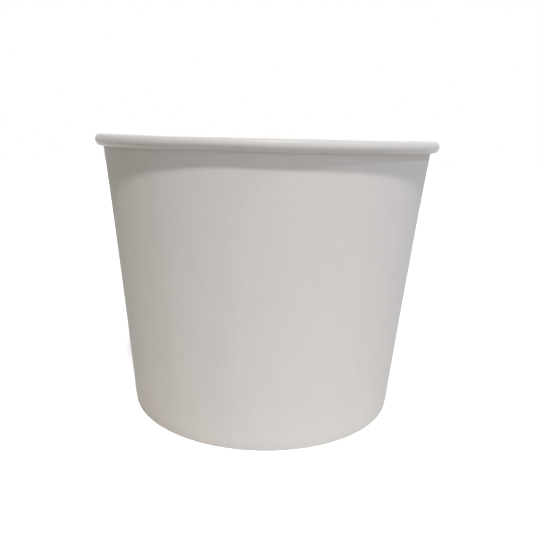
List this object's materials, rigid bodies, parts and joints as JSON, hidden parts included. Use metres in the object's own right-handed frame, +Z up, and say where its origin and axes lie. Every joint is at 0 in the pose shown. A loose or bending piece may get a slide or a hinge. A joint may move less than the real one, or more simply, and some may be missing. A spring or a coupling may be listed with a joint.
{
  "type": "paper food bucket",
  "caption": "Tapered round paperboard food tub with a rolled rim, an overlapped side seam at the back and a recessed bottom held in a folded foot hem.",
  "frame": {"origin": "centre of the foot ring, in the plane the bucket stands on", "axes": "+Z up along the bucket's axis; +Y towards the back, where the side seam is; the picture looks along +Y"},
  "size_m": [0.181, 0.181, 0.146],
  "materials": {
    "wall_board": "matte",
    "bottom_board": "matte"
  },
  "bodies": {
    "root": {"sidewall": "wall_board", "bottom_disc": "bottom_board"}
  },
  "joints": []
}
